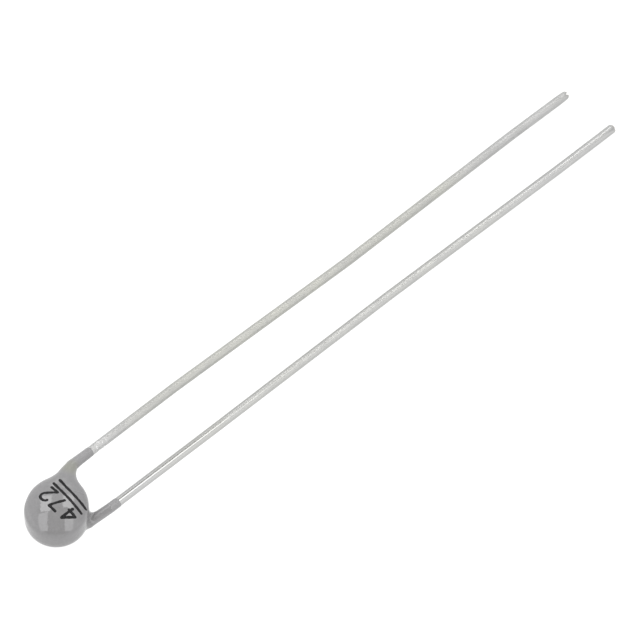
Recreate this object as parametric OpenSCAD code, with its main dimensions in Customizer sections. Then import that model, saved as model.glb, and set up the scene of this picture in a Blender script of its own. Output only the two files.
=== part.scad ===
// Leaded disc thermistor, dipped in grey lacquer, lying with its marked side up.
// The disc's centre is the working centre: +X runs along the leads, +Z out of the marked face.
// The finished part is moved so that it lies on Z = 0 with its box centred on the origin.

/* [Ceramic disc] */
// Diameter of the sintered disc
disc_d = 3.3; // [2.8:0.05:4.2]
// Thickness of the sintered disc
disc_t = 0.8; // [0.5:0.05:1.4]
// Bevel on the disc's two edges
disc_bevel = 0.06; // [0.02:0.01:0.12]
// Bare ceramic margin around each fired electrode
electrode_margin = 0.15; // [0.05:0.01:0.25]
// Thickness of each fired electrode
electrode_t = 0.03; // [0.02:0.005:0.06]

/* [Lead wires] */
// Diameter of the tinned wire
wire_d = 0.62; // [0.5:0.01:0.7]
// Distance between the two leads where they leave the necks
lead_pitch = 3.58; // [3.2:0.02:5]
// Front lead from the head's rim to its cut end
front_lead_length = 44.7; // [30:0.1:60]
// Rear lead from the head's rim to its cut end
rear_lead_length = 45.1; // [30:0.1:60]
// Height of the front lead over the disc's middle plane at its neck
front_rise = 0.6; // [0.2:0.05:0.7]
// Height of the rear lead over the disc's middle plane at its neck
rear_rise = -0.25; // [-0.4:0.05:0.3]
// Front lead's neck bend, out from the head's rim
front_bend_out = 0.9; // [0.8:0.05:1.6]
// Rear lead's neck bend, out from the head's rim
rear_bend_out = 0.9; // [0.8:0.05:1.4]
// Radius of the formed bends, on the wire's centre line
form_r = 0.9; // [0.6:0.05:1.1]
// Straight run of each lead behind its cut end
tip_run = 5; // [3:0.1:8]
// Runs between each lead's three slight handling bends
middle_run = 15; // [8:0.1:18]
// How far the front lead stands outwards at its first handling bend
front_bow = 0.13; // [-0.1:0.01:0.2]
// How far the rear lead stands outwards at its first handling bend
rear_bow = 0.01; // [-0.1:0.01:0.2]
// How far each lead stands outwards at its middle handling bend
lead_waist = 0; // [-0.1:0.01:0.1]
// How far each lead stands outwards from its last handling bend on
lead_splay = 0.21; // [0:0.01:0.3]
// Bevel left on each cut end
cut_bevel = 0.06; // [0.02:0.01:0.12]

/* [Soldered joints] */
// Distance of each soldered run from the disc's centre line
seat_offset = 0.7; // [0.5:0.05:0.8]
// Inner end of the wire's soldered run, short of the disc's centre
seat_inner = 0.85; // [0.6:0.05:0.95]
// Outer end of the wire's soldered run
seat_outer = 0.6; // [0.5:0.05:0.7]
// Distance past the disc's rim at which the wire leaves the face's level
rim_clear = 0.41; // [0.35:0.01:0.5]
// Distance of the front wire from the disc's centre line where it passes the rim
front_rim_offset = 1.23; // [1.2:0.01:1.6]
// Distance of the rear wire from the disc's centre line where it passes the rim
rear_rim_offset = 1.47; // [1.2:0.01:1.6]
// Solder left under the wire
solder_film = 0.02; // [0.01:0.005:0.05]
// Spread of the solder on each side of the wire
solder_side = 0.25; // [0.15:0.01:0.3]
// Spread of the solder past the inner end of the wire
solder_end = 0.15; // [0.1:0.01:0.2]
// Height of the solder over the electrode
solder_h = 0.36; // [0.25:0.01:0.45]

/* [Lacquer coating] */
// Lacquer over the disc's rim
rim_cover = 0.4; // [0.25:0.01:0.6]
// Lacquer over the soldered wires, at the middle of each face
face_cover = 0.36; // [0.15:0.01:0.6]
// Squareness of the head's section: 2 is an ellipse, more is fuller at the rim
fullness = 3.1; // [2.4:0.1:4]
// How far the head is drawn out where the front neck leaves it
drawn_out = 0.45; // [0:0.01:0.6]
// Direction in which the head is drawn out, turned from the leads towards the front one
drawn_turn = 33; // [0:1:45]
// Lacquer film on the wires along the necks
neck_film = 0.02; // [0.02:0.005:0.08]
// Extra lacquer on the wires where the necks reach the head
neck_flare = 0.01; // [0:0.01:0.12]
// Front neck from the head's rim to the lacquer's edge
front_neck = 2.45; // [2:0.05:3.5]
// Rear neck from the head's rim to the lacquer's edge
rear_neck = 1.5; // [1.4:0.05:3]
// Reach of the web between the head and the front neck
front_web = 0.9; // [0.6:0.05:1.6]
// Reach of the web between the head and the rear neck
rear_web = 0.45; // [0.2:0.05:1.6]

/* [Hidden] */
$fn = 64;

FRONT = 1;
REAR = -1;

disc_r = disc_d / 2;
wire_r = wire_d / 2;
electrode_r = disc_r - electrode_margin;
// Outer face of an electrode, and the axis of the wire that is soldered to it
electrode_z = disc_t / 2 + electrode_t;
seat_z = electrode_z + solder_film + wire_r;
// Head: half width, half width on the lead side, and half thickness
head_r = disc_r + rim_cover;
head_out = head_r + drawn_out;
head_h = seat_z + wire_r + face_cover;

// Radius of the slight handling bends
handling_r = 1.5;
// Wire loses a little of its radius in a bend, and the bend runs on a little inside the straight runs
bend_thinning = 0.002;
bend_run_on = 2;

// Where the webs start, as a share of the head's half width
web_start = 0.4;

// Resolution of the dipped form: rings around the head, rings on each neck, points in a ring
fan_rings = 60;
neck_rings = 4;
ring_points = 32;
// Halvings that find the lacquer's surface along a ray, and the longest ray
halvings = 14;
ray = 2 * head_r;
// Last stretch of each neck, over which the film thins to its edge
lip = 0.08;
// Share of the film that is left at the edge
lip_share = 0.4;

function unit(v) = v / norm(v);
function mix(a, b, t) = a + (b - a) * t;
function clamp(t) = min(1, max(0, t));
function ease(t) = let (s = clamp(t)) s * s * (3 - 2 * s);

// Values of one side of the part
function lead_end(side) = head_r + (side == FRONT ? front_lead_length : rear_lead_length);
function neck_end(side) = head_r + (side == FRONT ? front_neck : rear_neck);
function neck_bend(side) = [
    head_r + (side == FRONT ? front_bend_out : rear_bend_out),
    side * lead_pitch / 2,
    side == FRONT ? front_rise : rear_rise
];
// The cut end's axis lies one wire radius over the surface that the head rests on
function cut_end(side) = [lead_end(side), side * (lead_pitch / 2 + lead_splay), wire_r - head_h];
// A point of the free lead: x, sideways place from the centre line, height on a straight fall
function on_lead(side, x, sideways) =
    let (from = neck_bend(side), to = cut_end(side))
    [x, side * sideways, mix(from.z, to.z, (x - from.x) / (to.x - from.x))];

// Corner points of a lead's centre line, from its soldered end to its cut end.
// It stays clear over the electrode until it is past the disc's rim.
function lead_corners(side) =
    let (
        rim_reach = disc_r + rim_clear,
        rim_offset = side == FRONT ? front_rim_offset : rear_rim_offset,
        rim_x = sqrt(rim_reach * rim_reach - rim_offset * rim_offset),
        bow = side == FRONT ? front_bow : rear_bow,
        far_x = lead_end(side) - tip_run
    )
    [
        [-seat_inner, side * seat_offset, side * seat_z],
        [seat_outer, side * seat_offset, side * seat_z],
        [rim_x, side * rim_offset, side * seat_z],
        neck_bend(side),
        on_lead(side, far_x - 2 * middle_run, lead_pitch / 2 + bow),
        on_lead(side, far_x - middle_run, lead_pitch / 2 + lead_waist),
        on_lead(side, far_x, lead_pitch / 2 + lead_splay),
        cut_end(side)
    ];
// Numbers of the corners at the rim and at the neck's bend
RIM = 2;
NECK = 3;
bend_radii = [form_r, form_r, form_r, handling_r, handling_r, handling_r];

// Turning matrices about the wire's own axes
function turn_z(a) = [[cos(a), -sin(a), 0], [sin(a), cos(a), 0], [0, 0, 1]];
function turn_y(a) = [[cos(a), 0, sin(a)], [0, 1, 0], [-sin(a), 0, cos(a)]];
function transposed(m) = [for (i = [0:2]) [for (j = [0:2]) m[j][i]]];

// Wire formed as a bending jig forms it: feed, turn, bend, and again.
// It is drawn along +Z from one corner, and frame is that direction in the part's axes.
module formed_wire(corners, radii, frame, i = 0, used = 0) {
    run = corners[i + 1] - corners[i];
    if (i == len(corners) - 2) {
        feed = norm(run) - used;
        cylinder(h = feed - cut_bevel, r = wire_r);
        translate([0, 0, feed - cut_bevel]) cylinder(h = cut_bevel, r1 = wire_r, r2 = wire_r - cut_bevel);
    } else {
        next = transposed(frame) * unit(corners[i + 2] - corners[i + 1]);
        bend = acos(next.z);
        roll = atan2(next.y, next.x);
        r = radii[i];
        tangent = r * tan(bend / 2);
        feed = norm(run) - used - tangent;
        cylinder(h = feed, r = wire_r);
        translate([0, 0, feed]) rotate([0, 0, roll]) translate([r, 0, 0]) {
            rotate([90, 0, 180]) rotate(-bend_run_on) rotate_extrude(angle = bend + 2 * bend_run_on)
                translate([r, 0]) circle(r = wire_r - bend_thinning);
            rotate([0, bend, 0]) translate([-r, 0, 0])
                formed_wire(corners, radii, frame * turn_z(roll) * turn_y(bend), i + 1, tangent);
        }
    }
}

// A lead starts on its electrode and runs along +X
module lead_wire(side) {
    corners = lead_corners(side);
    translate(corners[0]) rotate([0, 90, 0]) formed_wire(corners, bend_radii, turn_y(90));
}

// Hollow-sided outline of a solder fillet: half widths at its foot and its top, and height
function fillet_outline(foot, top, height, steps = 4) =
    let (side = [for (i = [0:steps])
        let (a = 90 * i / steps)
        [mix(foot, top, sin(a)), height * (1 - cos(a))]])
    concat(side, [for (i = [0:steps]) [-side[steps - i].x, side[steps - i].y]]);

// Solder that beds the wire on one electrode, hollow along its sides and its ends
module solder_fillet(side) {
    half_length = (seat_inner + seat_outer) / 2 + solder_end;
    half_width = wire_r + solder_side;
    // Film that is left on the wire's flanks
    flank = 0.04;
    difference() {
        rotate([side == FRONT ? 0 : 180, 0, 0])
            translate([(seat_outer - seat_inner) / 2, seat_offset, electrode_z]) intersection() {
                rotate([90, 0, 90]) linear_extrude(height = 2 * half_length, center = true)
                    polygon(fillet_outline(half_width, wire_r + flank, solder_h));
                rotate([90, 0, 0]) linear_extrude(height = 2 * half_width, center = true)
                    polygon(fillet_outline(half_length, half_length - solder_side, solder_h));
            }
        lead_wire(side);
    }
}

// Distance of a point from a straight stretch of a wire's centre line
function off_stretch(p, a, b) =
    let (ab = b - a)
    norm(p - a - ab * clamp((p - a) * ab / (ab * ab)));

// Two forms run into each other with a web of the given reach
function webbed(a, b, reach) = let (h = max(reach - abs(a - b), 0) / reach) min(a, b) - h * h * reach / 4;

// The webs grow from nothing on the head's face to their full reach at its rim
function reach_at(p, reach) =
    mix(0.02, reach, ease((norm([p.x, p.y]) / head_r - web_start) / (1 - web_start)));

// Each form below is negative inside the lacquer and positive outside
function head_form(p) =
    let (
        toward = [cos(drawn_turn), sin(drawn_turn)],
        along = p.x * toward.x + p.y * toward.y,
        aside = p.y * toward.x - p.x * toward.y,
        out = along > 0 ? along * head_r / head_out : along,
        across = norm([out, aside]) / head_r,
        up = abs(p.z) / head_h
    )
    (pow(pow(across, fullness) + pow(up, fullness), 1 / fullness) - 1) * (head_r + head_h) / 2;

// Lacquer on a wire thins from the head to the neck's edge
function neck_radius(side, x) =
    let (from_edge = neck_end(side) - x)
    wire_r + neck_film * mix(lip_share, 1, ease(from_edge / lip))
    + neck_flare * ease(from_edge / (neck_end(side) - head_r));

function neck_form(p, side, corners) =
    min([for (i = [0:NECK]) off_stretch(p, corners[i], corners[i + 1])]) - neck_radius(side, p.x);

function dipped(p, front, rear) =
    let (
        with_front = webbed(head_form(p), neck_form(p, FRONT, front), reach_at(p, front_web))
    )
    webbed(with_front, neck_form(p, REAR, rear), reach_at(p, rear_web));

// Distance along d from c to the surface, found by halving
function skin_at(c, d, near, far, front, rear, i = 0) =
    let (half = (near + far) / 2)
    i == halvings ? half
    : dipped(c + d * half, front, rear) < 0 ? skin_at(c, d, half, far, front, rear, i + 1)
    : skin_at(c, d, near, half, front, rear, i + 1);

// The rings follow a U from one neck's edge, round the head, to the other neck's edge.
// On the necks they are square to X. Round the head they fan out about a line in the crotch.
crotch_x = (head_out + head_r + min(front_bend_out, rear_bend_out)) / 2;

// Where a neck's wire meets the upright plane x
function wire_at(corners, x) =
    let (i = x > corners[NECK].x ? NECK : RIM, a = corners[i], b = corners[i + 1])
    mix(a, b, (x - a.x) / (b.x - a.x));

// Where it meets the fan plane that leaves the crotch along d
function crossing(corners, d) =
    let (
        rim = corners[RIM] - [crotch_x, 0, 0],
        outer = corners[NECK] - corners[RIM],
        u = (rim.y * d.x - rim.x * d.y) / (outer.x * d.y - outer.y * d.x),
        inner = corners[RIM] - corners[RIM - 1],
        v = (rim.y * d.x - rim.x * d.y) / (inner.x * d.y - inner.y * d.x)
    )
    corners[RIM] + (u >= 0 ? outer * u : inner * v);

function neck_ring(x, side, front, rear) =
    let (c = wire_at(side == FRONT ? front : rear, x), far = 3 * wire_d)
    [for (j = [0:ring_points - 1])
        let (a = 360 * j / ring_points, d = [0, side * cos(a), sin(a)])
        c + d * skin_at(c, d, 0, far, front, rear)];

function fan_ring(angle, front, rear) =
    let (
        out = [-cos(angle), sin(angle), 0],
        side = angle >= 0 ? FRONT : REAR,
        wire = crossing(side == FRONT ? front : rear, out),
        turn = ease(1 - abs(angle) / 45),
        c = mix(wire, [0, 0, 0], turn),
        // The centre is kept in the ring's own plane
        in_plane = ([c.x - crotch_x, c.y, 0] * out) * out + [crotch_x, 0, c.z],
        back = norm([in_plane.x - crotch_x, in_plane.y])
    )
    [for (j = [0:ring_points - 1])
        let (
            a = 360 * j / ring_points,
            d = out * cos(a) + [0, 0, sin(a)],
            far = cos(a) < 0 ? min(ray, -back / cos(a)) : ray
        )
        in_plane + d * skin_at(in_plane, d, 0, far, front, rear)];

// Places of a neck's rings along X, from its edge to the crotch
function neck_stations(side) =
    let (from = neck_end(side) - lip)
    concat([neck_end(side)], [for (i = [0:neck_rings - 1]) mix(from, crotch_x, i / neck_rings)]);

module dipped_envelope() {
    front = lead_corners(FRONT);
    rear = lead_corners(REAR);
    rear_stations = neck_stations(REAR);
    last = len(rear_stations) - 1;
    rings = concat(
        [for (x = neck_stations(FRONT)) neck_ring(x, FRONT, front, rear)],
        [for (i = [0:fan_rings]) fan_ring(mix(90, -90, i / fan_rings), front, rear)],
        [for (i = [0:last]) neck_ring(rear_stations[last - i], REAR, front, rear)]
    );
    n = ring_points;
    count = len(rings);
    points = [for (ring = rings) each ring];
    sides = [for (i = [0:count - 2]) for (j = [0:n - 1])
        let (k = (j + 1) % n, a = i * n + j, b = i * n + k, c = (i + 1) * n + k, d = (i + 1) * n + j)
        each [[a, b, c], [a, c, d]]];
    first_cap = [for (j = [0:n - 1]) n - 1 - j];
    last_cap = [for (j = [0:n - 1]) (count - 1) * n + j];
    polyhedron(points = points, faces = concat([first_cap], sides, [last_cap]));
}

// The modules below draw about the disc's centre
module disc_form() {
    rotate_extrude() polygon([
        [0, -disc_t / 2],
        [disc_r - disc_bevel, -disc_t / 2],
        [disc_r, disc_bevel - disc_t / 2],
        [disc_r, disc_t / 2 - disc_bevel],
        [disc_r - disc_bevel, disc_t / 2],
        [0, disc_t / 2]
    ]);
}

module electrode_form(side) {
    translate([0, 0, side == FRONT ? disc_t / 2 : -electrode_z]) cylinder(h = electrode_t, r = electrode_r);
}

// Lays the part on Z = 0 with its box centred over the origin
box_middle_x = (max(lead_end(FRONT), lead_end(REAR)) - head_r) / 2;
module laid() {
    translate([-box_middle_x, 0, head_h]) children();
}

module ceramic_disc() {
    color("#4a4644") laid() disc_form();
}

module front_electrode() {
    color("#d9d8d2") laid() electrode_form(FRONT);
}

module rear_electrode() {
    color("#d9d8d2") laid() electrode_form(REAR);
}

module front_solder() {
    color("#b8babd") laid() solder_fillet(FRONT);
}

module rear_solder() {
    color("#b8babd") laid() solder_fillet(REAR);
}

module front_lead() {
    color("#cfcfca") laid() lead_wire(FRONT);
}

module rear_lead() {
    color("#cfcfca") laid() lead_wire(REAR);
}

module lacquer_coating() {
    color("#9c9da0") laid() difference() {
        dipped_envelope();
        disc_form();
        for (side = [FRONT, REAR]) {
            electrode_form(side);
            solder_fillet(side);
            lead_wire(side);
        }
    }
}

ceramic_disc();
front_electrode();
rear_electrode();
front_solder();
rear_solder();
front_lead();
rear_lead();
lacquer_coating();
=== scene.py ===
"""Dressed model of a leaded disc thermistor on its back, laid out as an add-on and run as a script.

Lengths are in metres. Shapes are worked out about the centre of the ceramic disc: X runs along the leads,
Z comes out of the marked face, and Y goes from the rear lead to the front one.
"""

import math

import bpy
import numpy as np
from bpy.props import FloatProperty, FloatVectorProperty, IntProperty, PointerProperty, StringProperty
from bpy.types import Operator, Panel, PropertyGroup
from mathutils import Matrix, Vector


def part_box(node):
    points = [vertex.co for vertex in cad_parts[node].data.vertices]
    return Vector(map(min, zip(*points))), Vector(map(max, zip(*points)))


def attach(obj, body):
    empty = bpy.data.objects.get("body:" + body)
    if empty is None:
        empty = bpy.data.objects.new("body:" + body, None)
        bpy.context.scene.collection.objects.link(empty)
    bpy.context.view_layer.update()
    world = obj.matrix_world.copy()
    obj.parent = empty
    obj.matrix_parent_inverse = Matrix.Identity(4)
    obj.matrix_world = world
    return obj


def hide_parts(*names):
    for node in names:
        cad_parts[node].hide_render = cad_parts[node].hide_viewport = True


bl_info = {
    "name": "Dipped disc thermistor",
    "version": (1, 0, 0),
    "blender": (4, 5, 0),
    "location": "3D View > Sidebar > Thermistor",
    "description": "Dresses the packed solids of a leaded disc thermistor",
    "category": "Object",
}

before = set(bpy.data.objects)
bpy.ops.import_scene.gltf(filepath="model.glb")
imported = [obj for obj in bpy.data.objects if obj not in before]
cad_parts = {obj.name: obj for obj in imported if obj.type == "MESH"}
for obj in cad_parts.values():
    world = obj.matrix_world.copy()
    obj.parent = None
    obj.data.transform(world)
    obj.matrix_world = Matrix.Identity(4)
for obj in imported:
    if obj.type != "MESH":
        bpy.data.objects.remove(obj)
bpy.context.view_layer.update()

MM = 0.001
# The lead on the marked face, and the one behind the disc
FRONT = 1
REAR = -1
# Two of a lead's corners, by their number: beside the disc's rim, and the bend in the neck
RIM = 2
NECK = 3

disc_low, disc_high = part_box("ceramic_disc")
coat_low, coat_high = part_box("lacquer_coating")
# Centre of the disc in the frame: every shape below is worked out about it and then moved there
DISC = np.array((disc_low + disc_high) / 2)
HEAD_HALF_THICKNESS = (coat_high.z - coat_low.z) / 2


# Values that a user would change


def a_length(name, description, metres):
    """A length, shown to a thousandth of a millimetre."""
    return FloatProperty(name=name, description=description, default=metres, unit="LENGTH", precision=6)


def a_pair(name, description, front, rear):
    """Two lengths, for the front lead and for the rear one."""
    both = {"default": (front, rear), "size": 2}
    return FloatVectorProperty(name=name, description=description, unit="LENGTH", precision=6, **both)


def an_angle(name, description, radians):
    """An angle, shown in degrees."""
    return FloatProperty(name=name, description=description, default=radians, subtype="ANGLE")


def a_number(name, description, value):
    """A plain number."""
    return FloatProperty(name=name, description=description, default=value)


def a_colour(name, description, linear):
    """A colour of three linear values."""
    return FloatVectorProperty(name=name, description=description, default=linear, subtype="COLOR", size=3)


class CoatShape(PropertyGroup):
    """Sizes of the dipped lacquer coating."""

    half_width: a_length("Half width", "Half the head's width", 2.05 * MM)
    half_thickness: a_length("Half thickness", "Half the packed coating's thickness", HEAD_HALF_THICKNESS)
    drawn_out: a_length("Drawn out", "How far the head is drawn out towards the front neck", 0.45 * MM)
    drawn_turn: an_angle("Drawn out towards", "Direction of that from the leads", math.radians(33))
    fullness: a_number("Fullness", "Squareness of the lower half of the head", 3.1)
    top_fullness: a_number("Top fullness", "Squareness of the upper half's rim", 5.5)
    dome: a_number("Dome", "How far the upper face falls to its rim", 0.37)
    neck: a_pair("Necks", "From the head's rim to the lacquer's edge on each lead", 2.45 * MM, 1.5 * MM)
    web: a_pair("Webs", "Reach of the webs between the head and the necks", 0.9 * MM, 0.45 * MM)
    film: a_length("Film", "Lacquer on the wires along the necks", 0.02 * MM)
    flare: a_pair("Flares", "Extra lacquer where the necks reach the head", 0.05 * MM, 0.01 * MM)
    swell: a_length("Swell", "How far the head swells on the side of the front lead", 0.062 * MM)
    front_run: a_length("Front run", "Thickness of the run of lacquer on the front neck's bend", 0.03 * MM)
    edge_slant: a_length("Edge slant", "How far the lacquer's edge wanders along a wire", 0.06 * MM)


class LeadShape(PropertyGroup):
    """Sizes of the formed leads."""

    wire_radius: a_length("Wire radius", "Radius of the tinned wire", 0.31 * MM)
    pitch: a_length("Pitch", "Distance between the two leads", 3.58 * MM)
    length: a_pair("Lengths", "Leads from the head's rim to their cut ends", 44.7 * MM, 45.1 * MM)
    rise: a_pair("Rises", "Leads over the disc's middle plane, at their necks", 0.6 * MM, -0.25 * MM)
    bend_out: a_pair("Neck bends", "The bends in the necks, out from the head's rim", 0.9 * MM, 0.9 * MM)
    form_radius: a_length("Bend radius", "Radius of the formed bends", 0.9 * MM)
    handling_radius: a_length("Handling radius", "Radius of the slight handling bends", 1.5 * MM)
    rim_offset: a_pair("Rim offsets", "Bends by the disc's rim, from its middle line", 1.23 * MM, 1.47 * MM)
    rim_reach: a_length("Rim reach", "Bends by the disc's rim, from its centre", 2.06 * MM)
    seat_offset: a_length("Seat offset", "Soldered run from the disc's centre line", 0.7 * MM)
    seat_height: a_length("Seat height", "Soldered run from the disc's middle plane", 0.76 * MM)
    seat_inner: a_length("Seat start", "Inner end of the soldered run", 0.85 * MM)
    seat_outer: a_length("Seat end", "Outer end of the soldered run", 0.6 * MM)
    tip_run: a_length("Tip run", "Straight run behind a cut end", 5 * MM)
    middle_run: a_length("Middle run", "Runs between the handling bends", 15 * MM)
    bow: a_pair("Bows", "How far the first handling bends stand out", 0.1 * MM, 0.05 * MM)
    aside: a_pair("Asides", "The same of the middle ones, and of a neck if positive", -0.04 * MM, 0.03 * MM)
    splay: a_length("Splay", "How far a lead stands out from its last handling bend on", 0.2099 * MM)
    notch: a_length("Notch", "Depth of the nick in a snipped end", 0.15 * MM)


class MarkShape(PropertyGroup):
    """The printed mark on the head's upper face: a plain number and two bars."""

    number: StringProperty(name="Number", description="Plain digits, of 2, 4 and 7", default="472")
    unit_size: a_length("Unit", "A sixth of the digits' height", 0.176 * MM)
    stroke: a_length("Stroke", "Width of the printed strokes", 0.185 * MM)
    ink: a_length("Ink", "Thickness of the ink", 0.008 * MM)
    foot: a_length("Foot line", "The digits' foot line, from the disc's centre", 0.64 * MM)
    start: a_length("Start", "Left side of the first digit, from the centre line", -1.5 * MM)
    advance: a_length("Advance", "From one digit to the next", 1.0 * MM)
    near_bar: a_length("Near bar", "The bar beside the digits, from the disc's centre", 0.89 * MM)
    far_bar: a_length("Far bar", "The outer bar, from the disc's centre", 1.36 * MM)
    lean: a_length("Lean", "How much nearer to the centre the bars end beside the rear lead", 0.08 * MM)


class Finishes(PropertyGroup):
    """Colours of the finishes, as linear values."""

    lacquer: a_colour("Lacquer", "Grey lacquer", (0.213, 0.211, 0.216))
    lacquer_tint: a_colour("Lacquer tint", "Yellowed lacquer at a bend", (0.228, 0.23, 0.193))
    ink: a_colour("Ink", "Printing ink", (0.006, 0.006, 0.007))
    tin: a_colour("Tin", "Tinned surface of the wires", (0.47, 0.47, 0.47))
    warm_tin: a_colour("Warm tin", "Slightly yellowed tin", (0.465, 0.466, 0.428))
    dull_tin: a_colour("Dull tin", "Duller patches of the tin", (0.405, 0.407, 0.402))
    core: a_colour("Wire core", "Cut face of the wire", (0.50, 0.47, 0.44))
    ceramic: a_colour("Ceramic", "Sintered oxide", (0.055, 0.048, 0.045))
    silver: a_colour("Fired silver", "Fired electrodes", (0.80, 0.79, 0.76))
    solder: a_colour("Solder", "Solder fillets", (0.55, 0.56, 0.58))


class Studio(PropertyGroup):
    """Camera, floor and lights."""

    azimuth: an_angle("Azimuth", "The camera's turn about Z", math.radians(-42.733))
    elevation: an_angle("Elevation", "The camera's height over the floor", math.radians(57))
    distance: a_length("Distance", "From the camera to the head's centre", 450 * MM)
    lens: FloatProperty(name="Lens", description="Focal length", default=400, unit="CAMERA")
    head_across: a_number("Head across", "The head's place across the picture, in pixels", 56.4)
    head_down: a_number("Head down", "The head's place down the picture, in pixels", 514.67)
    picture: IntProperty(name="Picture", description="Width of the square picture in pixels", default=640)
    floor_radius: a_length("Floor", "Radius of the pale floor", 1.2)
    room: a_number("Room light", "Brightness of the room", 1.1)
    sides: a_number("Side lights", "Brightness of the lower panels of light", 2.5)
    tops: a_number("Top lights", "Brightness of the upper panels of light", 3.6)
    light_radius: a_length("Light radius", "Distance of the panels of light from the head", 0.9)


# Surfaces


def unit_rows(vectors):
    """Each vector divided by its own length."""
    return vectors / np.linalg.norm(vectors, axis=-1, keepdims=True)


def ease(share):
    """Smooth step: 3 s^2 - 2 s^3 with s kept between 0 and 1."""
    s = np.clip(share, 0, 1)
    return s * s * (3 - 2 * s)


def full_circle(around):
    """Angles evenly round a circle."""
    return np.linspace(0, 2 * math.pi, around, endpoint=False)


def own(pair, side):
    """The front or the rear lead's own value of a pair."""
    return pair[0 if side == FRONT else 1]


def put_object(name, points, rows, material):
    """A new object of these points and faces in the scene, with its place in its mesh."""
    mesh = bpy.data.meshes.new(name)
    mesh.from_pydata(points.tolist(), [], rows)
    mesh.materials.append(material)
    piece = bpy.data.objects.new(name, mesh)
    bpy.context.scene.collection.objects.link(piece)
    return piece


def put_piece(name, points, faces, material):
    """A smooth-shaded object of points about the disc's centre, with its faces outwards. They are turned
    round if their signed volume, the sum of a . (b x c) / 6 over the triangles, is negative."""
    corners = [f[:, [0, i, i + 1]] for f in faces for i in range(1, f.shape[1] - 1)]
    a, b, c = np.moveaxis(points[np.concatenate(corners)], 1, 0)
    turned = np.einsum("ij,ij->", a, np.cross(b, c)) < 0
    rows = [row for f in faces for row in (f[:, ::-1] if turned else f).tolist()]
    piece = put_object(name, points + DISC, rows, material)
    piece.data.shade_smooth()
    piece.data.validate()
    piece.data.update()
    return piece


def grid_faces(count, across, closed=True):
    """Quads between neighbouring rows of across points, closed round or open."""
    i = np.arange(count - 1)[:, None] * across
    j = np.arange(across if closed else across - 1)
    k = (j + 1) % across
    return np.stack([i + j, i + k, i + across + k, i + across + j], -1).reshape(-1, 4)


def ring_faces(count, around, first=0):
    """Faces of a skin of count rings of around points, the first of which has this number. It is closed at
    both ends by fans of triangles round the two points that come after the rings."""
    j = np.arange(around)
    k = (j + 1) % around
    start = np.full(around, count * around)
    last_ring = (count - 1) * around
    first_fan = np.stack([start, k, j], -1)
    last_fan = np.stack([start + 1, last_ring + j, last_ring + k], -1)
    return first + grid_faces(count, around), first + np.concatenate([first_fan, last_fan])


def lead_corners(side, leads, coat):
    """Corner points of a lead's centre line, from its soldered end to its cut end."""
    rim_offset = own(leads.rim_offset, side)
    bend_x = coat.half_width + own(leads.bend_out, side)
    rise = own(leads.rise, side)
    end_x = coat.half_width + own(leads.length, side)
    end_z = leads.wire_radius - coat.half_thickness
    far_x = end_x - leads.tip_run
    half = leads.pitch / 2
    aside = own(leads.aside, side)
    free = np.array(
        [
            [bend_x, half + max(aside, 0)],
            [far_x - 2 * leads.middle_run, half + own(leads.bow, side)],
            [far_x - leads.middle_run, half + aside],
            [far_x, half + leads.splay],
            [end_x, half + leads.splay],
        ]
    )
    fall = rise + (end_z - rise) * (free[:, 0] - bend_x) / (end_x - bend_x)
    seated = np.array(
        [
            [-leads.seat_inner, leads.seat_offset, side * leads.seat_height],
            [leads.seat_outer, leads.seat_offset, side * leads.seat_height],
            [math.sqrt(leads.rim_reach**2 - rim_offset**2), rim_offset, side * leads.seat_height],
        ]
    )
    corners = np.concatenate([seated, np.column_stack([free, fall])])
    corners[:, 1] *= side
    return corners


def rounded_line(corners, radii, steps):
    """The line through the corners, each inner one rounded by an arc of its radius r. An arc of angle b
    starts r tan(b / 2) before its corner. Its points are start + r (sin t along + (1 - cos t) inward)."""
    runs = unit_rows(np.diff(corners, axis=0))
    before, after = runs[:-1], runs[1:]
    cosine = np.clip(np.einsum("ij,ij->i", before, after), -1, 1)
    bend = np.arccos(cosine)
    inward = unit_rows(after - before * cosine[:, None])
    start = corners[1:-1] - before * (radii * np.tan(bend / 2))[:, None]
    t = bend[:, None] * np.linspace(0, 1, steps)
    arcs = start[:, None] + radii[:, None, None] * (
        np.sin(t)[..., None] * before[:, None] + (1 - np.cos(t))[..., None] * inward[:, None]
    )
    return np.concatenate([corners[:1], arcs.reshape(-1, 3), corners[-1:]])


def tube_axes(line):
    """Directions along the line, sideways and level, and square to both. The line never runs upright."""
    along = unit_rows(np.gradient(line, axis=0))
    sideways = unit_rows(np.cross([0, 0, 1.0], along))
    return along, sideways, np.cross(along, sideways)


def skin_distance(origin, direction, far, form, halvings=34):
    """Distance from origin along direction to the form's surface, found by halving between 0 and far."""
    near = np.zeros(np.broadcast_shapes(origin.shape, direction.shape)[:-1])
    far = np.zeros_like(near) + far
    for _ in range(halvings):
        half = (near + far) / 2
        inside = form(origin + direction * half[..., None]) < 0
        near, far = np.where(inside, half, near), np.where(inside, far, half)
    return (near + far) / 2


def off_line(points, corners):
    """Least distance of points from the straight stretches between the corners."""
    found = np.full(points.shape[:-1], np.inf)
    for a, b in zip(corners[:-1], corners[1:]):
        ab = b - a
        share = np.clip((points - a) @ ab / (ab @ ab), 0, 1)
        found = np.minimum(found, np.linalg.norm(points - a - share[..., None] * ab, axis=-1))
    return found


def webbed(a, b, reach):
    """Two forms joined with a web: min(a, b) less h^2 reach / 4, h being 1 - |a - b| / reach, or 0."""
    h = np.maximum(reach - np.abs(a - b), 0) / reach
    return np.minimum(a, b) - h * h * reach / 4


def form_of(scene):
    """The dipped lacquer as the scene's values have it."""
    return DippedForm(scene.thermistor_coat, scene.thermistor_leads, scene.thermistor_marks.ink)


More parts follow.
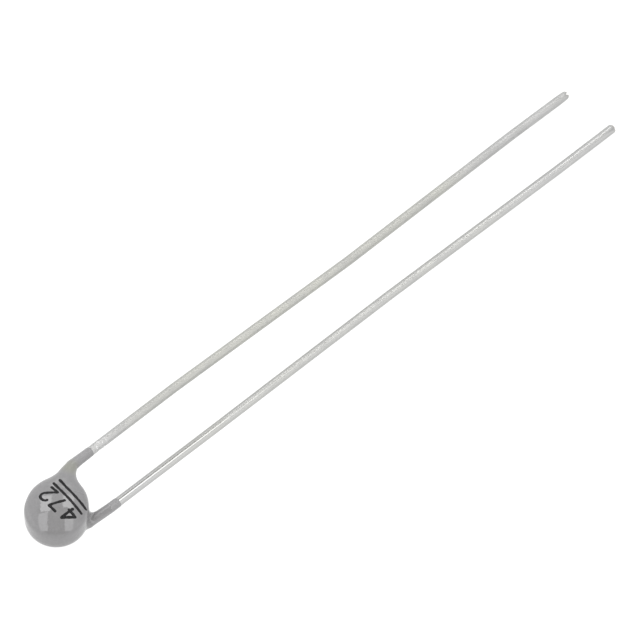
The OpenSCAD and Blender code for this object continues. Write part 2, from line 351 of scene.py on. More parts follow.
class DippedForm:
    """The dipped lacquer, negative inside and positive outside: a full lens-shaped head, drawn out on one
    side, and the film on both wires, run together with webs that grow from the head's face to its rim."""

    # Past this share of the half width the dome falls no further
    DOME_LIMIT = 1.2
    # Middle and spread of the swell, turned from the leads
    SWELL_TURN = math.radians(94)
    SWELL_SPREAD = math.radians(17)
    # The thinned lip at the lacquer's edge, and the share of the film that its end keeps
    LIP = 0.08 * MM
    LIP_SHARE = 0.4
    # Middle and spread of the run of lacquer along the front neck
    RUN_AT = 2.35 * MM
    RUN_SPREAD = 0.4 * MM
    # Where the front neck's outer side starts, and over what width
    OUTER_FROM = 1.6 * MM
    OUTER_WIDTH = 0.4 * MM
    # Share of the half width at which the webs start to grow, and their least reach
    WEB_START = 0.4
    LEAST_REACH = 0.02 * MM
    # Share of the front web that its crease takes, from where it fades along X, and over what length
    FRONT_CREASE = 0.25
    FRONT_FADE_FROM = 1.6 * MM
    FRONT_FADE = 0.6 * MM
    # Share of the rear web that its crease takes, and how far it takes to grow over and past the wire
    REAR_CREASE = 0.97
    REAR_FADE_UP = 0.3 * MM
    REAR_FADE_OUT = 0.25 * MM

    def __init__(self, coat, leads, ink):
        self.coat, self.leads, self.ink = coat, leads, ink
        self.corners = {side: lead_corners(side, leads, coat) for side in (FRONT, REAR)}
        self.neck_end = {side: coat.half_width + own(coat.neck, side) for side in (FRONT, REAR)}

    def head(self, p):
        """((across^f + up^f)^(1/f) - 1) times the mean of the two half sizes. The upper half is lower by
        the ink, and domed: up grows there by (1 + dome across^2). The half width grows by the swell times
        exp(-((turn - middle) / spread)^2) on the side of the front lead, less and less up to the face."""
        c = self.coat
        toward = np.array([math.cos(c.drawn_turn), math.sin(c.drawn_turn)])
        along = p[..., :2] @ toward
        aside = p[..., 1] * toward[0] - p[..., 0] * toward[1]
        turn = np.arctan2(p[..., 1], p[..., 0])
        low = 1 - ease(p[..., 2] / c.half_thickness)
        bulge = np.exp(-(((turn - self.SWELL_TURN) / self.SWELL_SPREAD) ** 2))
        swell = 1 + low * c.swell / c.half_width * bulge
        out = np.where(along > 0, along * c.half_width / (c.half_width + c.drawn_out), along)
        across = np.hypot(out, aside) / (c.half_width * swell)
        fall = 1 + c.dome * np.minimum(across, self.DOME_LIMIT) ** 2
        domed = p[..., 2] / (c.half_thickness - self.ink) * fall
        up = np.where(p[..., 2] > 0, domed, -p[..., 2] / c.half_thickness)
        f = np.where(p[..., 2] > 0, c.top_fullness, c.fullness)
        full = (across**f + up**f) ** (1 / f)
        return (full - 1) * (c.half_width + c.half_thickness) / 2

    def neck_radius(self, side, x):
        """Wire radius plus the film, which thins to the edge, plus the flare, which grows to the head."""
        c = self.coat
        back = self.neck_end[side] - x
        share = self.LIP_SHARE + (1 - self.LIP_SHARE) * ease(back / self.LIP)
        flare = own(c.flare, side) * ease(back / (self.neck_end[side] - c.half_width))
        return self.leads.wire_radius + c.film * share + flare

    def front_outer(self, p):
        """0 on the inner side of the front neck and 1 on its outer side."""
        return ease((p[..., 1] - self.OUTER_FROM) / self.OUTER_WIDTH)

    def neck(self, p, side):
        """Distance from the wire's centre line less the coated radius. The front neck's bend has a run of
        lacquer on its outer side, of h exp(-((x - middle) / spread)^2)."""
        off = off_line(p, self.corners[side][RIM - 1 : NECK + 2]) - self.neck_radius(side, p[..., 0])
        if side == REAR:
            return off
        run = np.exp(-(((p[..., 0] - self.RUN_AT) / self.RUN_SPREAD) ** 2)) * self.front_outer(p)
        return off - self.coat.front_run * run

    def reach(self, p, reach):
        """Reach of a web: next to nothing on the face, full at the rim."""
        away = np.hypot(p[..., 0], p[..., 1]) / self.coat.half_width
        grown = ease((away - self.WEB_START) / (1 - self.WEB_START))
        return self.LEAST_REACH + (reach - self.LEAST_REACH) * grown

    def front_crease(self, p):
        """Share of the front web that is left: it is less where the neck's outer side meets the head."""
        by_head = 1 - ease((p[..., 0] - self.FRONT_FADE_FROM) / self.FRONT_FADE)
        return 1 - self.FRONT_CREASE * self.front_outer(p) * by_head

    def rear_crease(self, p):
        """Share of the rear web that is left: it is small over the outer half of the neck."""
        wire = self.corners[REAR][RIM]
        over = ease((p[..., 2] - wire[2]) / self.REAR_FADE_UP - 0.8)
        outer = ease((wire[1] - p[..., 1]) / self.REAR_FADE_OUT + 0.6)
        return 1 - self.REAR_CREASE * over * outer

    def __call__(self, p):
        """The form's value at points: the head webbed with the front neck and then with the rear one."""
        c = self.coat
        front_reach = self.reach(p, own(c.web, FRONT) * self.front_crease(p))
        rear_reach = self.reach(p, own(c.web, REAR) * self.rear_crease(p))
        front = webbed(self.head(p), self.neck(p, FRONT), front_reach)
        return webbed(front, self.neck(p, REAR), rear_reach)


# Number of points round the coating's rings, and of rings along the front neck, the rear neck and the head
COAT_AROUND = 144
NECK_RINGS = {FRONT: 40, REAR: 30}
HEAD_RINGS = 300
# Turn of the lacquer's slanted edge round each wire
EDGE_TURN = {FRONT: 2.2, REAR: 0.9}


def neck_rings(form, side, crotch_x):
    """Rings square to X from a neck's edge to the crotch: the wire's centre line plus a ray at each angle,
    out to the form. By the edge, points at angle a move by slant (cos(a - turn) + 0.35 cos(3 a + turn))."""
    corners = form.corners[side]
    edge = form.neck_end[side]
    lip = np.linspace(0, 1, 9)[:-1] * form.LIP
    x = np.concatenate([edge - lip, np.linspace(edge - form.LIP, crotch_x, NECK_RINGS[side])])
    angle = full_circle(COAT_AROUND)
    turn = EDGE_TURN[side]
    wander = form.coat.edge_slant * (np.cos(angle - turn) + 0.35 * np.cos(3 * angle + turn))
    hold = 1 - ease((edge - x) / (8 * form.LIP))
    run = np.where(x > corners[NECK, 0], NECK, RIM)
    a, b = corners[run], corners[run + 1]
    centre = a + (b - a) * ((x - a[:, 0]) / (b[:, 0] - a[:, 0]))[:, None]
    ray = np.stack([np.zeros(COAT_AROUND), side * np.cos(angle), np.sin(angle)], -1)
    origin = centre[:, None]
    rings = origin + ray * skin_distance(origin, ray, 6 * form.leads.wire_radius, form)[..., None]
    rings[..., 0] += hold[:, None] * wander
    return rings, centre


def fan_rings(form, crotch_x):
    """Rings in upright planes that fan out about an upright line in the crotch, from one neck round the
    head to the other: a centre plus a ray at each angle, out to the form or to that line. The centres lie
    on a wire over the first and the last 45 degrees, and go by the disc's centre between them."""
    turn = np.radians(np.linspace(90, -90, HEAD_RINGS))
    out = np.stack([-np.cos(turn), np.sin(turn), np.zeros(HEAD_RINGS)], -1)
    corners = np.stack([form.corners[side] for side in np.where(turn >= 0, FRONT, REAR)])
    rim = corners[:, RIM] - [crotch_x, 0, 0]
    outer = corners[:, NECK] - corners[:, RIM]
    inner = corners[:, RIM] - corners[:, RIM - 1]
    top = rim[:, 1] * out[:, 0] - rim[:, 0] * out[:, 1]
    u = top / (outer[:, 0] * out[:, 1] - outer[:, 1] * out[:, 0])
    v = top / (inner[:, 0] * out[:, 1] - inner[:, 1] * out[:, 0])
    wire = corners[:, RIM] + np.where(u[:, None] >= 0, outer * u[:, None], inner * v[:, None])
    centre = wire * (1 - ease(1 - np.abs(turn) / math.radians(45)))[:, None]
    reach = (centre[:, 0] - crotch_x) * out[:, 0] + centre[:, 1] * out[:, 1]
    origin = out * reach[:, None] + np.array([crotch_x, 0, 0]) + centre * [0, 0, 1]
    back = np.hypot(origin[:, 0] - crotch_x, origin[:, 1])
    angle = full_circle(COAT_AROUND)
    direction = out[:, None] * np.cos(angle)[:, None] + np.array([0, 0, 1]) * np.sin(angle)[:, None]
    ray = 2 * form.coat.half_width
    towards = np.minimum(np.cos(angle), -1e-9)
    far = np.where(np.cos(angle) < 0, np.minimum(ray, -back[:, None] / towards), ray)
    origin = origin[:, None]
    return origin + direction * skin_distance(origin, direction, far, form)[..., None]


def coating_skin(form):
    """The rings from the front neck's edge round the head to the rear neck's edge, closed inside each wire
    by the edge's ring again, drawn in to 0.9 of its size, and a point on the centre line."""
    coat = form.coat
    crotch_x = (2 * coat.half_width + coat.drawn_out + min(form.leads.bend_out)) / 2
    front, front_centre = neck_rings(form, FRONT, crotch_x)
    rear, rear_centre = neck_rings(form, REAR, crotch_x)
    fan = fan_rings(form, crotch_x)
    front_end, rear_end = (
        (centre[0] + (rings[0] - centre[0]) * 0.9)[None]
        for rings, centre in ((front, front_centre), (rear, rear_centre))
    )
    rings = np.concatenate([front_end, front, fan[1:-1], rear[::-1], rear_end])
    points = np.concatenate([rings.reshape(-1, 3), front_centre[:1], rear_centre[:1]])
    return points, ring_faces(len(rings), COAT_AROUND)


# A snipped end: the last rings of the wire behind it, and the end face's rings as shares of its radius
BEHIND_CUT = np.array([1.0, 0.8, 0.6, 0.5, 0.42, 0.0]) * MM
CUT_SHARES = np.array([1.0, 0.985, 0.95, 0.9, 0.8, 0.65, 0.5, 0.35, 0.2, 0.08])
# How many of the end face's rings keep the tin, the nick's width as a share of the wire's radius, the
# pinch's length, and the rounding of the edge
TINNED_RINGS = 4
NICK_WIDTH = 0.2
PINCH_LENGTH = 1.0 * MM
EDGE_ROUNDING = 0.17 * MM
# Each lead's own snip: turn of the nick, turn and share of the pinch, and share of the nick's depth
SNIPS = {FRONT: (0.45, 0.45, 0.08, 1.0), REAR: (1.3, 2.0, 0.2, 0.3)}


def lead_skin(side, leads, coat):
    """A round section carried along the lead's centre line, closed at both ends. Before its cut end the
    wire is pinched by (1 - p cos^2 a), and the end face is pushed back by a nick, n exp(-(q / w)^2), q
    across the wire, and by the rounding of its edge, e (r / R)^4."""
    corners = lead_corners(side, leads, coat)
    radii = np.array([leads.form_radius] * 3 + [leads.handling_radius] * 3)
    line = rounded_line(corners, radii, steps=20)
    around = 64
    last = line[-1] - line[-2]
    line = np.concatenate([line[:-1], line[-1] - last / np.linalg.norm(last) * BEHIND_CUT[:, None]])
    along, sideways, upward = tube_axes(line)
    angle = full_circle(around)
    nick_turn, pinch_turn, squeeze, nick_share = SNIPS[side]
    pinch = np.zeros((len(line), 1))
    pinch[-len(BEHIND_CUT) :, 0] = squeeze * (1 - ease(BEHIND_CUT / PINCH_LENGTH))
    radius = leads.wire_radius * (1 - pinch * np.cos(angle - pinch_turn) ** 2)
    level, upright = np.cos(angle)[:, None], np.sin(angle)[:, None]
    rings = line[:, None] + (level * sideways[:, None] + upright * upward[:, None]) * radius[..., None]
    across = np.cos(angle - nick_turn) * CUT_SHARES[:, None]
    nick = leads.notch * nick_share
    pushed = nick * np.exp(-((across / NICK_WIDTH) ** 2)) + EDGE_ROUNDING * CUT_SHARES[:, None] ** 4
    face = line[-1] + CUT_SHARES[:, None, None] * (rings[-1] - line[-1])
    cap = face - along[-1] * pushed[..., None]
    start = np.stack([line[0] + s * (rings[0] - line[0]) for s in (0.5, 0.9)])
    rings = np.concatenate([start, rings[:-1], cap])
    sides, caps = ring_faces(len(rings), around)
    poles = np.stack([line[0], line[-1] - along[-1] * nick])
    points = np.concatenate([rings.reshape(-1, 3), poles])
    first_torn = len(sides) - around * (len(CUT_SHARES) - TINNED_RINGS)
    return points, sides, caps, first_torn


# Strokes of the plain digits in cells 4 units wide and 6 high, from left to right and upwards
DIGITS = {
    "4": [[(2.9, 0), (2.9, 6), (0, 1.8), (4, 1.8)]],
    "7": [[(0, 6), (3.9, 6), (1.4, 0)]],
    "2": [
        [(0.15, 4.5), (0.5, 5.5), (1.4, 6), (2.6, 6), (3.5, 5.5)]
        + [(3.85, 4.6), (3.5, 3.6), (0.1, 0.05), (4, 0)],
    ],
}
# Where the near and the far bar start and end, from the centre line, and how far the near one leans out
NEAR_ENDS = (-1.58 * MM, 1.33 * MM)
FAR_ENDS = (-1.47 * MM, 1.23 * MM)
NEAR_OUT = 0.04 * MM
# Distance between points along a stroke, and the length over which its direction is taken
STROKE_STEP = 0.02 * MM
CORNER_REACH = 0.05 * MM


def mark_lines(marks):
    """The corners of each stroke of the number and of the two bars, as X and Y."""
    unit = marks.unit_size
    lines = [
        [(marks.foot - v * unit, marks.start + i * marks.advance + u * unit) for u, v in stroke]
        for i, digit in enumerate(marks.number)
        for stroke in DIGITS[digit]
    ]
    lines.append([(marks.near_bar - marks.lean, NEAR_ENDS[0]), (marks.near_bar + NEAR_OUT, NEAR_ENDS[1])])
    lines.append([(marks.far_bar - marks.lean, FAR_ENDS[0]), (marks.far_bar, FAR_ENDS[1])])
    return [np.array(line) for line in lines]


def stroke_skin(corners, marks, form, first, seed):
    """A printed stroke: a lens-shaped bead of ink carried along a line of corners on the head's upper face.
    Its half width is w sqrt(1 - (d / w)^2) within w of an end, d being the distance past w from that end,
    times an uneven share, and its height is the skin's own plus the ink's thickness times sin(angle)."""
    steps = np.linalg.norm(np.diff(corners, axis=0), axis=1)
    run = np.concatenate([[0], np.cumsum(steps)])
    count = max(12, int(run[-1] / STROKE_STEP))
    w = marks.stroke / 2
    rounding = w * (1 - np.cos(np.linspace(0, math.pi / 2, 8)))[1:-1]
    s = np.concatenate([rounding, np.linspace(w, run[-1] - w, count), (run[-1] - rounding)[::-1]])

    def at(length):
        """Points at these lengths along the line of corners."""
        return np.stack([np.interp(length, run, corners[:, i]) for i in range(2)], -1)

    line = at(s)
    along = unit_rows(at(s + CORNER_REACH) - at(s - CORNER_REACH))
    square = np.stack([-along[:, 1], along[:, 0]], -1)
    past = np.clip(w - np.minimum(s, run[-1] - s), 0, w)
    uneven = 1 + 0.07 * np.sin(s / (0.11 * MM) + seed) + 0.05 * np.sin(s / (0.047 * MM) + 2.7 * seed)
    half = np.sqrt(np.maximum(w * w - past * past, (0.03 * w) ** 2)) * uneven
    angle = full_circle(16)
    flat = line[:, None] + square[:, None] * (half[:, None] * np.cos(angle))[..., None]
    flat = np.concatenate([flat.reshape(-1, 2), line[:1], line[-1:]])
    level = np.column_stack([flat, np.zeros(len(flat))])
    height = skin_distance(level, np.array([0, 0, 1.0]), 2 * form.coat.half_thickness, form)
    lift = np.concatenate([np.tile(np.sin(angle), len(s)), [0, 0]])
    # The bead's lower half lies in the lacquer, and is a little flatter
    level[:, 2] = height + marks.ink * np.where(lift > 0, lift, 0.8 * lift)
    sides, caps = ring_faces(len(s), len(angle), first)
    return level, sides, caps


# Shader maths


class Socket:
    """An output socket. Arithmetic on it adds Math nodes, and plain numbers stay on their own sockets."""

    def __init__(self, shader, socket):
        self.shader, self.socket = shader, socket

    def math(self, operation, first, second, clamp=False):
        """A Math node with these two values."""
        settings = {"operation": operation, "use_clamp": clamp}
        inputs = {"Value": first, "Value_001": second}
        return self.shader.node("ShaderNodeMath", settings, inputs)["Value"]

    def __add__(self, other):
        return self.math("ADD", self, other)

    __radd__ = __add__

    def __mul__(self, other):
        return self.math("MULTIPLY", self, other)

    __rmul__ = __mul__

    def __sub__(self, other):
        return self.math("SUBTRACT", self, other)

    def __rsub__(self, other):
        return self.math("SUBTRACT", other, self)

    def clamped(self):
        """Kept between 0 and 1."""
        return self.math("ADD", self, 0.0, clamp=True)

    def step(self, low, high):
        """0 below low, 1 above high and smooth between them."""
        inputs = {"Value": self, "From Min": low, "From Max": high}
        return self.shader.node("ShaderNodeMapRange", {"interpolation_type": "SMOOTHSTEP"}, inputs)["Result"]


class Shader:
    """The node tree of a material or of the world."""

    def __init__(self, owner):
        self.owner = owner
        owner.use_nodes = True
        self.tree = owner.node_tree
        self.tree.nodes.clear()

    def node(self, kind, settings, inputs):
        """Adds a node of this type, sets its settings and then its sockets, by identifier, with values or
        links, and returns its outputs by identifier."""
        made = self.tree.nodes.new(kind)
        for key, value in settings.items():
            setattr(made, key, value)
        places = {s.identifier: s for s in made.inputs}
        for key, value in inputs.items():
            if isinstance(value, Socket):
                self.tree.links.new(value.socket, places[key])
            else:
                places[key].default_value = value
        return {s.identifier: Socket(self, s) for s in made.outputs}

    def place(self, scale=(1, 1, 1)):
        """Object coordinates about the disc's centre, in millimetres, stretched by scale."""
        found = self.node("ShaderNodeTexCoord", {}, {})["Object"]
        size = np.array(scale) / MM
        inputs = {"Vector": found, "Location": -DISC * size, "Scale": size}
        return self.node("ShaderNodeMapping", {}, inputs)["Vector"]

    def noise(self, place, scale, detail=2.0, roughness=0.5):
        """Noise about 0.5."""
        inputs = {"Vector": place, "Scale": scale, "Detail": detail, "Roughness": roughness}
        return self.node("ShaderNodeTexNoise", {}, inputs)["Fac"]

    def mix(self, share, a, b):
        """Colour a where share is 0 and b where it is 1."""
        inputs = {"Factor_Float": share, "A_Color": colour_value(a), "B_Color": colour_value(b)}
        return self.node("ShaderNodeMix", {"data_type": "RGBA"}, inputs)["Result_Color"]

    def tones(self, share, plain, low, high):
        """A darker tone of a plain colour where share is 0 and a lighter one where it is 1."""
        return self.mix(share, toned(plain, low), toned(plain, high))

    def measure(self, operation, place, other):
        """A number worked out from a place and a point or direction."""
        inputs = {"Vector": place, "Vector_001": tuple(other)}
        return self.node("ShaderNodeVectorMath", {"operation": operation}, inputs)["Value"]

    def parts(self, place):
        """The three coordinates of a place."""
        found = self.node("ShaderNodeSeparateXYZ", {}, {"Vector": place})
        return found["X"], found["Y"], found["Z"]

    def bump(self, height, depth):
        """Normal of a surface raised by height times depth."""
        inputs = {"Height": height, "Distance": depth, "Strength": 1.0}
        return self.node("ShaderNodeBump", {}, inputs)["Normal"]

    def surface(self, **sockets):
        """Feeds the Principled surface and returns the material. Underscores in names stand for spaces."""
        inputs = {name.replace("_", " "): value for name, value in sockets.items()}
        made = self.node("ShaderNodeBsdfPrincipled", {}, inputs)
        self.node("ShaderNodeOutputMaterial", {}, {"Surface": made["BSDF"]})
        return self.owner


def shader_for(name, stretch=(1, 1, 1)):
    """A new material's shader, and places on the piece that wears it."""
    shader = Shader(bpy.data.materials.new(name))
    return shader, shader.place(stretch)


def colour_value(value):
    """A colour socket's value: a link as it is, or a plain colour with its fourth number."""
    return value if isinstance(value, Socket) else (*value, 1.0)


def toned(colour, share):
    """A darker or a lighter tone of a colour."""
    return [c * share for c in colour]


# Materials


def lacquer_material(finish):
    """Grey lacquer: a fine mottle, slight orange peel, more matt towards the leads, yellowed at a bend,
    paler along the necks, and painted paler at the rear neck's root to lift the shade in the corner under
    the head.
    """
    s, place = shader_for("grey_lacquer")
    x, y, z = s.parts(place)
    mottle = s.noise(place, 7.0, 3.0, 0.6)
    cloud = s.noise(place, 1.3)
    shade = (mottle * 0.9 + cloud * 0.5 - 0.2).clamped()
    base = s.tones(shade, finish.lacquer, 0.88, 1.12)
    rear_neck = x.step(1.35, 1.75) * (1 - y.step(-0.9, -0.5)) * (1 - z.step(-0.3, -0.1))
    # Painted light: the rear neck's root, in the shaded corner under the head's rim, is painted paler to
    # lift that shade. Beyond 1.9 mm along X the necks are paler as well.
    rear_root_painted_light = rear_neck * (1 - x.step(2.2, 2.8))
    paler_necks_and_painted_light = (x.step(1.9, 2.6) * 0.7 + rear_root_painted_light * 1.3).clamped()
    base = s.mix(paler_necks_and_painted_light, base, toned(finish.lacquer, 1.2))
    front_bend = (2.6, 1.6, 0.9)
    aged = 1 - s.measure("DISTANCE", place, front_bend).step(0.2, 0.9)
    base = s.mix(aged * 0.7, base, finish.lacquer_tint)
    matt = (x * 0.7 + y * 0.35 + z * 0.5).step(0.95, 1.9) + rear_neck * 0.6
    rough = 0.035 + matt.clamped() * 0.28 + (mottle - 0.5) * 0.04
    peel = s.noise(place, 2.2, 2.0, 0.4) + s.noise(place, 14.0) * 0.1
    return s.surface(Base_Color=base, Roughness=rough, Normal=s.bump(peel, 0.007 * MM), IOR=1.6)


def ink_material(finish):
    """Printing ink: near black, thinner and greyer in specks."""
    s, place = shader_for("print_ink")
    speck = s.noise(place, 18.0, 2.0, 0.6)
    worn = [c + 0.03 for c in finish.ink]
    base = s.mix((speck - 0.5).step(0.02, 0.2), finish.ink, worn)
    return s.surface(Base_Color=base, Roughness=0.45 + (speck - 0.5) * 0.2, Specular_IOR_Level=0.2)


def tin_material(finish):
    """Tinned wire: dull and blotched, with drawn streaks and small dents. The rear wire was wiped bright
    for some way behind its neck, and a few bright specks lie by the front wire's neck."""
    s, place = shader_for("tinned_wire")
    x, y, _ = s.parts(place)
    front = y.step(-0.5, 0.5)
    rear = 1 - front
    streak = s.noise(s.place((0.25, 6, 6)), 2.0, 3.0, 0.6)
    blotch = s.noise(place, 0.9, 3.0, 0.6)
    grain = s.noise(place, 5.0, 2.0, 0.6)
    wiped = rear * (1 - (x + blotch * 6).step(13.0, 19.0))
    specks = front * (1 - x.step(5.0, 6.2)) * grain.step(0.58, 0.66)
    dull = (blotch * 1.7 + streak * 0.5 - 0.6).clamped() * (1 - wiped * 0.6)
    middle_run = x.step(5.0, 12.0) * (1 - x.step(34.0, 40.0)) * (front * 0.5 + 0.35)
    warm = (middle_run + s.noise(place, 0.35) * 0.4 - 0.1).clamped()
    clean = s.mix(warm, finish.tin, finish.warm_tin)
    base = s.mix(dull * 0.8, clean, finish.dull_tin)
    base = s.mix(specks, base, toned(finish.tin, 1.7))
    rough = 0.41 - rear * 0.16 + dull * 0.1 + (streak - 0.5) * 0.12
    rough = rough * (1 - wiped * 0.55) * (1 - specks * 0.5)
    dents = (s.noise(place, 2.4) + streak * 0.25 + grain * 0.12) * (1 - wiped * 0.75)
    return s.surface(Base_Color=base, Metallic=1.0, Roughness=rough, Normal=s.bump(dents, 0.012 * MM))


def grained_metal(name, colour, tones, grain, rough, depth, stretch=(1, 1, 1)):
    """Bare metal whose grain changes its tone, its roughness and its height."""
    s, place = shader_for(name, stretch)
    found = s.noise(place, *grain)
    base = s.tones(found, colour, *tones)
    normal = s.bump(found, depth)
    return s.surface(Base_Color=base, Metallic=1.0, Roughness=rough[0] + found * rough[1], Normal=normal)


def core_material(finish):
    """The wire's cut face: torn metal with shear lines."""
    grain, lines = (4.0, 3.0, 0.6), (1, 9, 3)
    return grained_metal("wire_core", finish.core, (0.7, 1.1), grain, (0.4, 0.15), 0.01 * MM, lines)


def silver_material(finish):
    """Fired silver paste: pale and porous."""
    pores = (22.0, 3.0, 0.7)
    return grained_metal("fired_silver", finish.silver, (0.82, 1.04), pores, (0.38, 0.22), 0.004 * MM)


def solder_material(finish):
    """Solder: bright where it ran, frosted where it set slowly."""
    frost = (4.0, 3.0, 0.6)
    return grained_metal("solder", finish.solder, (0.85, 1.15), frost, (0.2, 0.3), 0.01 * MM)


def ceramic_material(finish):
    """Sintered oxide: dark, dull and finely grained."""
    s, place = shader_for("sintered_ceramic")
    grain = s.node("ShaderNodeTexVoronoi", {}, {"Vector": place, "Scale": 26.0})["Distance"]
    shade = (grain + s.noise(place, 5.0) * 0.4 - 0.2).clamped()
    base = s.tones(shade, finish.ceramic, 0.7, 1.5)
    return s.surface(Base_Color=base, Roughness=0.62 + grain * 0.15, Normal=s.bump(grain, 0.006 * MM))


def floor_material():
    """A pale lit table: part of its light is its own, so that shadows on it stay faint."""
    s, place = shader_for("pale_floor")
    base = s.mix(s.noise(place, 0.02), (0.14, 0.14, 0.14), (0.16, 0.16, 0.16))
    return s.surface(Base_Color=base, Roughness=0.6, Emission_Color=(1, 1, 1, 1), Emission_Strength=0.92)


def panel_material(name, brightness):
    """The glowing cloth of a panel of light."""
    s = Shader(bpy.data.materials.new(name))
    return s.surface(Base_Color=(0, 0, 0, 1), Emission_Color=(1, 1, 1, 1), Emission_Strength=brightness)


# Operators


class THERMISTOR_OT_core(Operator):
    """Give the disc, its electrodes and its solder their finishes"""

    bl_idname = "thermistor.core"
    bl_label = "Core"

    def execute(self, context):
        finish = context.scene.thermistor_finishes
        silver, solder = silver_material(finish), solder_material(finish)
        finishes = {
            "ceramic_disc": ceramic_material(finish),
            "front_electrode": silver,
            "rear_electrode": silver,
            "front_solder": solder,
            "rear_solder": solder,
        }
        for node, material in finishes.items():
            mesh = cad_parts[node].data
            mesh.materials.clear()
            mesh.materials.append(material)
        return {"FINISHED"}


class THERMISTOR_OT_leads(Operator):
    """Form the two tinned leads"""

    bl_idname = "thermistor.leads"
    bl_label = "Leads"

    def execute(self, context):
        scene = context.scene
        leads, coat = scene.thermistor_leads, scene.thermistor_coat
        tin, core = tin_material(scene.thermistor_finishes), core_material(scene.thermistor_finishes)
        for side, node in ((FRONT, "front_lead"), (REAR, "rear_lead")):
            points, sides, caps, first_torn = lead_skin(side, leads, coat)
            piece = put_piece("formed_" + node, points, [sides, caps], tin)
            piece.data.materials.append(core)
            number = np.arange(len(piece.data.polygons))
            on_side = (number >= first_torn) & (number < len(sides))
            on_cap = number >= len(sides) + len(caps) // 2
            piece.data.polygons.foreach_set("material_index", (on_side | on_cap).astype(np.int32))
            piece.data.set_sharp_from_angle(angle=math.radians(50))
            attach(piece, "root")
            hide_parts(node)
        return {"FINISHED"}


class THERMISTOR_OT_coating(Operator):
    """Dip the head and its necks in lacquer"""

    bl_idname = "thermistor.coating"
    bl_label = "Coating"

    def execute(self, context):
        scene = context.scene
        points, faces = coating_skin(form_of(scene))
        piece = put_piece("dipped_coating", points, faces, lacquer_material(scene.thermistor_finishes))
        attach(piece, "root")
        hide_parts("lacquer_coating")
        return {"FINISHED"}


class THERMISTOR_OT_mark(Operator):
    """Print the plain number and its two bars"""

    bl_idname = "thermistor.mark"
    bl_label = "Mark"

    def execute(self, context):
        scene = context.scene
        marks = scene.thermistor_marks
        unreal = set(marks.number) - set(DIGITS)
        if unreal:
            raise ValueError(f"the mark has no strokes for {sorted(unreal)}")
        form = form_of(scene)
        points, sides, caps, first = [], [], [], 0
        for seed, line in enumerate(mark_lines(marks)):
            level, side, cap = stroke_skin(line, marks, form, first, seed)
            points.append(level)
            sides.append(side)
            caps.append(cap)
            first += len(level)
        faces = [np.concatenate(sides), np.concatenate(caps)]
        ink = ink_material(scene.thermistor_finishes)
        piece = put_piece("printed_mark", np.concatenate(points), faces, ink)
        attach(piece, "root")
        return {"FINISHED"}


# Inner and outer edge of each panel of light, from end to end, as shares aside and tilts in degrees
SIDE_PANELS = {
    "light_left": (
        ((-0.37, 38), (-0.35, 50), (-0.31, 70), (-0.27, 90), (-0.24, 106)),
        ((-0.73, 2), (-0.71, 32), (-0.67, 62), (-0.56, 90), (-0.49, 106)),
    ),
    "light_right": (
        ((0.38, 36), (0.34, 55), (0.29, 71), (0.24, 90), (0.25, 104)),
        ((0.72, -6), (0.74, 30), (0.66, 66), (0.55, 89), (0.49, 104)),
    ),
}
TOP_PANELS = {
    "light_left_top": (
        ((-0.22, 107), (-0.16, 114), (-0.15, 121), (-0.15, 134)),
        ((-0.44, 109), (-0.42, 117), (-0.4, 125), (-0.39, 138)),
    ),
    "light_right_top": (
        ((0.17, 113), (0.13, 121), (0.12, 133)),
        ((0.42, 115), (0.4, 122), (0.38, 135)),
    ),
}
# Tones of the room: everywhere, far on the left, on the right low and high, and behind the camera
PALE = (1.0, 1.0, 1.0)
LEFT_TONE = (1.45, 1.45, 1.45)
LOW_RIGHT_TONE = (1.25, 1.25, 1.25)
HIGH_RIGHT_TONE = (0.82, 0.82, 0.82)
DIM_TONE = (0.44, 0.43, 0.4)


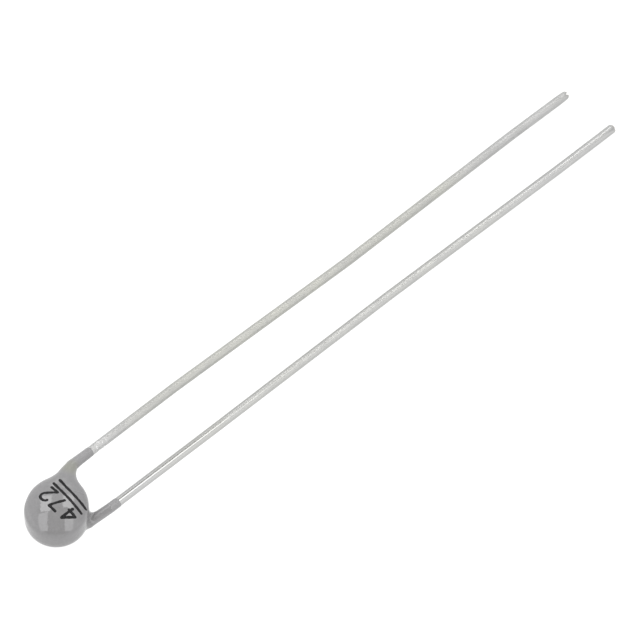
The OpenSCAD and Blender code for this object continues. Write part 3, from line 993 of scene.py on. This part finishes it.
class THERMISTOR_OT_stage(Operator):
    """Set the pale floor, the soft lights and the camera"""

    bl_idname = "thermistor.stage"
    bl_label = "Stage"

    def execute(self, context):
        studio = context.scene.thermistor_studio
        self.floor(studio)
        for name, edges in SIDE_PANELS.items():
            self.panel(studio, name, edges, studio.sides)
        for name, edges in TOP_PANELS.items():
            self.panel(studio, name, edges, studio.tops)
        self.room(context.scene, studio)
        self.camera(context.scene, studio)
        context.scene.view_settings.view_transform = "Standard"
        return {"FINISHED"}

    def floor(self, studio):
        """A flat disc at the frame's zero, of rings whose radii grow as squares of even steps."""
        rings, around = 24, 96
        radius = studio.floor_radius * np.linspace(0.02, 1, rings)[:, None] ** 2
        angle = full_circle(around)
        level = np.stack([radius * np.cos(angle), radius * np.sin(angle), np.zeros((rings, around))], -1)
        points = np.concatenate([level.reshape(-1, 3), np.zeros((1, 3))])
        sides = grid_faces(rings, around)[:, ::-1]
        j = np.arange(around)
        middle = np.stack([np.full(around, rings * around), j, (j + 1) % around], -1)
        piece = put_object("floor", points, sides.tolist() + middle.tolist(), floor_material())

    def toward(self, studio, aside, tilt):
        """Direction with this share to the right, tilted up from the camera's side and over the top."""
        front = Vector((math.sin(studio.azimuth), -math.cos(studio.azimuth), 0))
        right = Vector((math.cos(studio.azimuth), math.sin(studio.azimuth), 0))
        level = math.sqrt(1 - aside * aside)
        t = math.radians(tilt)
        return right * aside + front * (level * math.cos(t)) + Vector((0, 0, level * math.sin(t)))

    def panel(self, studio, name, both, brightness):
        """A strip between two edges on a sphere about the head. Share aside and tilt run evenly from corner
        to corner of an edge, and (1 - s) inner + s outer, brought out to the sphere, lies between them."""
        steps, across = 12, 10
        edges = []
        for corners in both:
            stations = np.arange(len(corners))
            t = np.linspace(0, len(corners) - 1, steps * (len(corners) - 1) + 1)
            aside, tilt = (np.interp(t, stations, [c[i] for c in corners]) for i in range(2))
            edges.append(np.array([self.toward(studio, a, e) for a, e in zip(aside, tilt)]))
        share = np.linspace(0, 1, across)[:, None]
        sheet = unit_rows(edges[0][:, None] * (1 - share) + edges[1][:, None] * share)
        points = (sheet * studio.light_radius + DISC).reshape(-1, 3)
        faces = grid_faces(len(sheet), across, closed=False)
        piece = put_object(name, points, faces.tolist(), panel_material(name, brightness))
        piece.visible_camera = False

    def room(self, scene, studio):
        """A pale room that is dim behind the camera. The camera sees it white."""
        scene.world = bpy.data.worlds.new("pale_room")
        s = Shader(scene.world)
        way = s.node("ShaderNodeTexCoord", {}, {})["Generated"]
        aside, level, forward = (
            s.measure("DOT_PRODUCT", way, self.toward(studio, share, tilt))
            for share, tilt in ((1.0, 0), (0, 0), (0, 60))
        )
        dim = (1 - (aside * aside).step(0.42**2, 0.56**2)) * forward.step(0.42, 0.56)
        low = level.step(0.06, 0.22)
        tone = s.mix((0 - aside).step(0.74, 0.9), PALE, LEFT_TONE)
        tone = s.mix(aside.step(0.6, 0.78), tone, s.mix(low, HIGH_RIGHT_TONE, LOW_RIGHT_TONE))
        tone = s.mix(dim, tone, DIM_TONE)
        lit = s.node("ShaderNodeBackground", {}, {"Color": tone, "Strength": studio.room})["Background"]
        seen = s.node("ShaderNodeBackground", {}, {"Color": (1, 1, 1, 1)})["Background"]
        camera_ray = s.node("ShaderNodeLightPath", {}, {})["Is Camera Ray"]
        both = s.node("ShaderNodeMixShader", {}, {"Fac": camera_ray, "Shader": lit, "Shader_001": seen})
        s.node("ShaderNodeOutputWorld", {}, {"Surface": both["Shader"]})

    def camera(self, scene, studio):
        """Looks along the chosen direction, with the head's centre at its place in the picture."""
        a, e = studio.azimuth, studio.elevation
        back = Vector((math.sin(a) * math.cos(e), -math.cos(a) * math.cos(e), math.sin(e)))
        right = Vector((math.cos(a), math.sin(a), 0))
        up = back.cross(right)
        data = bpy.data.cameras.new("photo_camera")
        data.lens, data.sensor_width, data.sensor_fit = studio.lens, 36, "HORIZONTAL"
        data.clip_start, data.clip_end = 0.02, 20
        pixels = studio.picture * data.lens / data.sensor_width
        middle = studio.picture / 2
        across = (studio.head_across - middle) / pixels * studio.distance
        upward = (middle - studio.head_down) / pixels * studio.distance
        camera = bpy.data.objects.new("photo_camera", data)
        place = Vector(DISC) + back * studio.distance - right * across - up * upward
        camera.matrix_world = Matrix.Translation(place) @ Matrix((right, up, back)).transposed().to_4x4()
        scene.collection.objects.link(camera)
        scene.camera = camera


STEPS = (
    THERMISTOR_OT_core,
    THERMISTOR_OT_leads,
    THERMISTOR_OT_coating,
    THERMISTOR_OT_mark,
    THERMISTOR_OT_stage,
)

GROUPS = {
    "thermistor_coat": CoatShape,
    "thermistor_leads": LeadShape,
    "thermistor_marks": MarkShape,
    "thermistor_finishes": Finishes,
    "thermistor_studio": Studio,
}


class THERMISTOR_PT_pieces(Panel):
    """Lists the pieces in the order in which they are made"""

    bl_idname = "THERMISTOR_PT_pieces"
    bl_label = "Thermistor"
    bl_space_type = "VIEW_3D"
    bl_region_type = "UI"
    bl_category = "Thermistor"

    def draw(self, context):
        for step in STEPS:
            self.layout.operator(step.bl_idname)
        for name in GROUPS:
            group = getattr(context.scene, name)
            box = self.layout.box()
            for key in group.bl_rna.properties.keys():
                if key not in ("rna_type", "name"):
                    box.prop(group, key)


CLASSES = (*GROUPS.values(), *STEPS, THERMISTOR_PT_pieces)


def register():
    for cls in CLASSES:
        bpy.utils.register_class(cls)
    for name, group in GROUPS.items():
        setattr(bpy.types.Scene, name, PointerProperty(type=group))


def unregister():
    for name in GROUPS:
        delattr(bpy.types.Scene, name)
    for cls in reversed(CLASSES):
        bpy.utils.unregister_class(cls)


def main():
    register()
    bpy.ops.thermistor.core()
    bpy.ops.thermistor.leads()
    bpy.ops.thermistor.coating()
    bpy.ops.thermistor.mark()
    bpy.ops.thermistor.stage()


if __name__ == "__main__":
    main()
